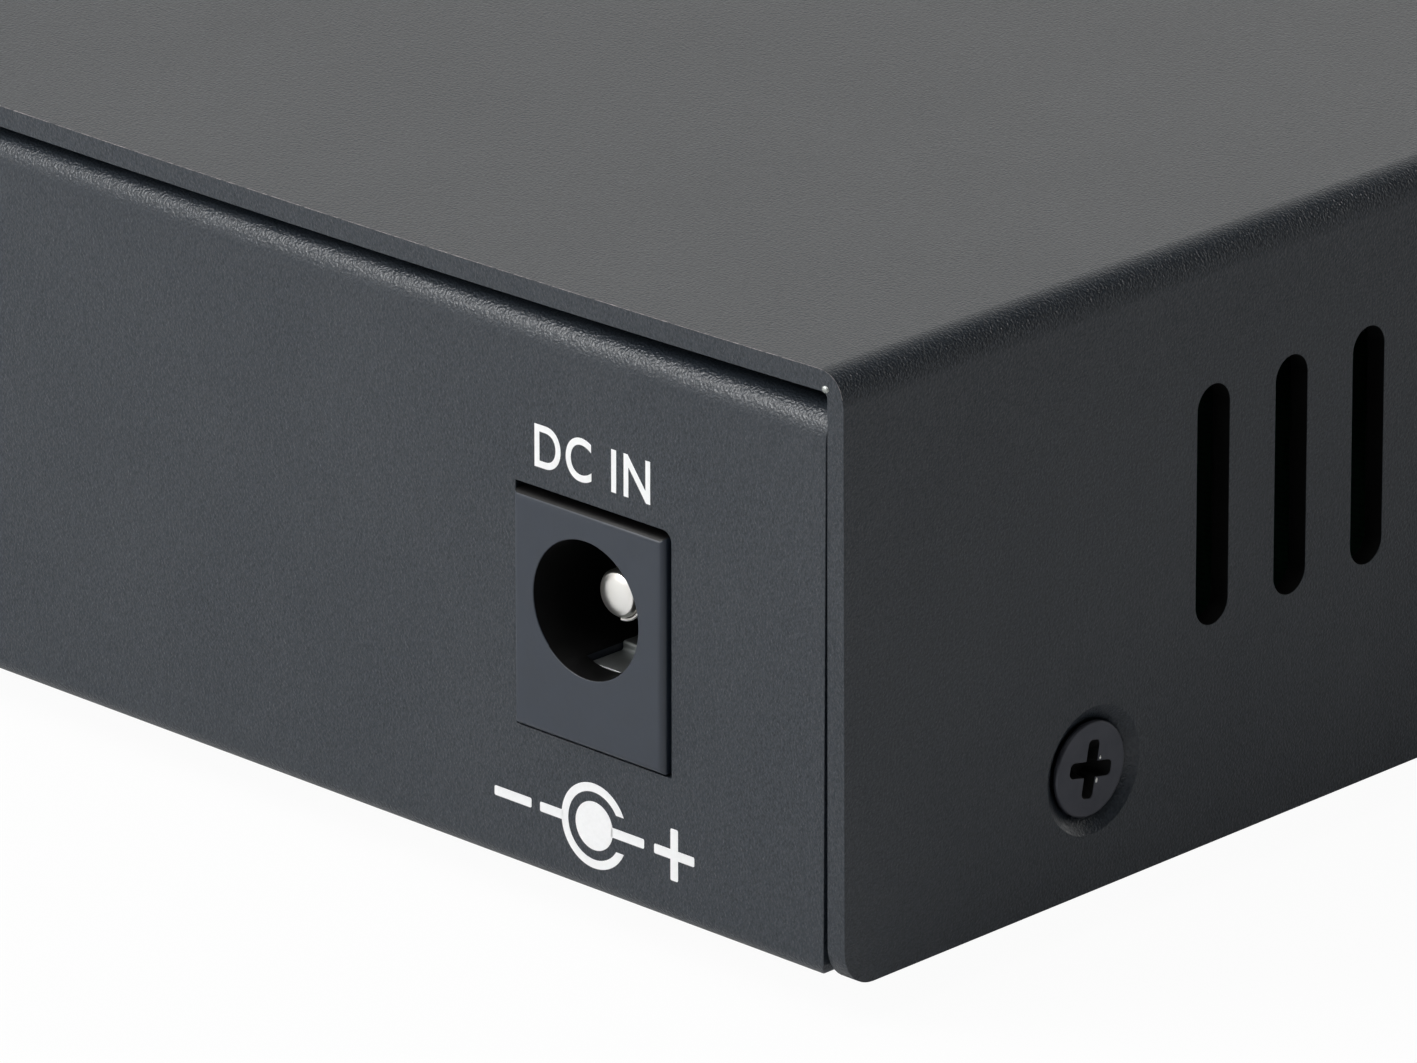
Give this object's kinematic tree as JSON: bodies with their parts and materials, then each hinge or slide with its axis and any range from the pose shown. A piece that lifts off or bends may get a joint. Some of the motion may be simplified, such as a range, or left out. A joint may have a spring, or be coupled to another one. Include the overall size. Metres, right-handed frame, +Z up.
{
  "type": "fibre media converter",
  "caption": "Small steel box that joins a network cable to a fibre pair: folded cover with side slots, power socket behind, sockets and lamps in front.",
  "frame": {"origin": "middle of the case on the surface that the feet stand on", "axes": "+X to the right seen from the front (sockets and lamps), +Y from the front to the back panel with the power socket, +Z up"},
  "size_m": [0.073, 0.095, 0.0299],
  "materials": {
    "powder_coat": "charcoal powder coat with a fine grain",
    "black_screw": "black finished steel screw",
    "plain_steel": "zinc-plated steel",
    "foot_rubber": "soft black rubber",
    "board_laminate": "green solder mask over glass laminate",
    "black_plastic": "moulded black plastic",
    "bright_pin": "nickel-plated pin",
    "gold_contact": "gold-plated contact",
    "tin_shield": "tin-plated folded shield",
    "blue_plastic": "moulded blue plastic",
    "sleeve_ceramic": "white ceramic sleeve",
    "lamp_lens": "clear green lens",
    "package_epoxy": "black moulded package",
    "lead_tin": "tinned leads",
    "crystal_metal": "drawn metal can",
    "can_aluminium": "bare aluminium can",
    "ferrite": "sintered ferrite",
    "ceramic_chip": "ceramic chip body",
    "resistor_film": "black resistor film",
    "print_white": "white screen print"
  },
  "bodies": {
    "root": {"top_cover": "powder_coat", "base_tray": "powder_coat", "cover_screws": "black_screw", "rubber_feet": "foot_rubber", "circuit_board": "board_laminate", "board_posts": "plain_steel", "board_screws": "plain_steel", "dc_jack_housing": "black_plastic", "dc_jack_pin": "bright_pin", "dc_jack_spring": "plain_steel", "network_jack_shield": "tin_shield", "network_jack_housing": "black_plastic", "network_jack_contacts": "gold_contact", "fibre_module_housing": "blue_plastic", "fibre_ferrule_sleeves": "sleeve_ceramic", "fibre_port_hooks": "blue_plastic", "fibre_module_pins": "lead_tin", "lamp_blocks": "black_plastic", "lamps": "lamp_lens", "converter_chip": "package_epoxy", "converter_chip_leads": "lead_tin", "line_transformer": "package_epoxy", "line_transformer_leads": "lead_tin", "crystal_can": "crystal_metal", "capacitor_cans": "can_aluminium", "capacitor_bases": "package_epoxy", "power_choke": "ferrite", "regulator": "package_epoxy", "chip_resistors": "resistor_film", "chip_capacitors": "ceramic_chip"}
  },
  "joints": []
}
